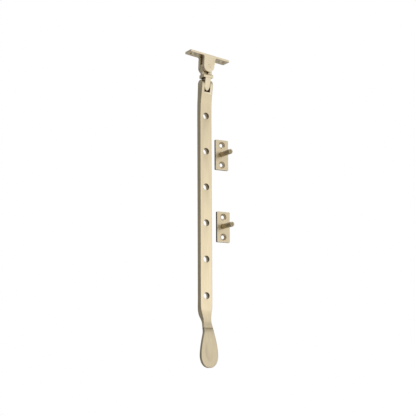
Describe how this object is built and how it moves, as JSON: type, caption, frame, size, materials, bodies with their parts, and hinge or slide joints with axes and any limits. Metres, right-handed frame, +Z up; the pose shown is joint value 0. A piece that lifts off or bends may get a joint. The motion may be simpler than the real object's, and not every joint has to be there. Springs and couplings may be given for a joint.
{
  "type": "casement window stay",
  "caption": "Hanging casement stay: a pivoting bracket, a swivel, a flat bar pierced with peg holes and ending in a dished spoon handle, and loose peg plates.",
  "frame": {"origin": "centre of the bracket's flat mounting face", "axes": "+Z up, along the hanging bar; +X to the right as seen from the bar's front; +Y from the bar's front face to its back"},
  "size_m": [0.0667, 0.0366, 0.333],
  "materials": {
    "cast_brass": "satin, pale champagne",
    "turned_brass": "satin"
  },
  "bodies": {
    "bracket": {"bracket": "cast_brass", "bracket_pin": "turned_brass", "upper_peg_plate": "cast_brass", "upper_peg": "turned_brass", "lower_peg_plate": "cast_brass", "lower_peg": "turned_brass"},
    "swivel": {"swivel": "cast_brass"},
    "stay_bar": {"stay_bar": "cast_brass", "fork_pin": "turned_brass"}
  },
  "joints": [
    {"name": "bracket_pivot", "type": "hinge", "parent": "bracket", "child": "swivel", "pos_m": [-0.00156, 0, -0.0127], "axis": [0, 1, 0], "range_deg": [-83, 97]},
    {"name": "fork_pivot", "type": "hinge", "parent": "swivel", "child": "stay_bar", "pos_m": [-0.00156, 0.0014, -0.03411], "axis": [1, 0, 0], "range_deg": [-90, 45]}
  ]
}
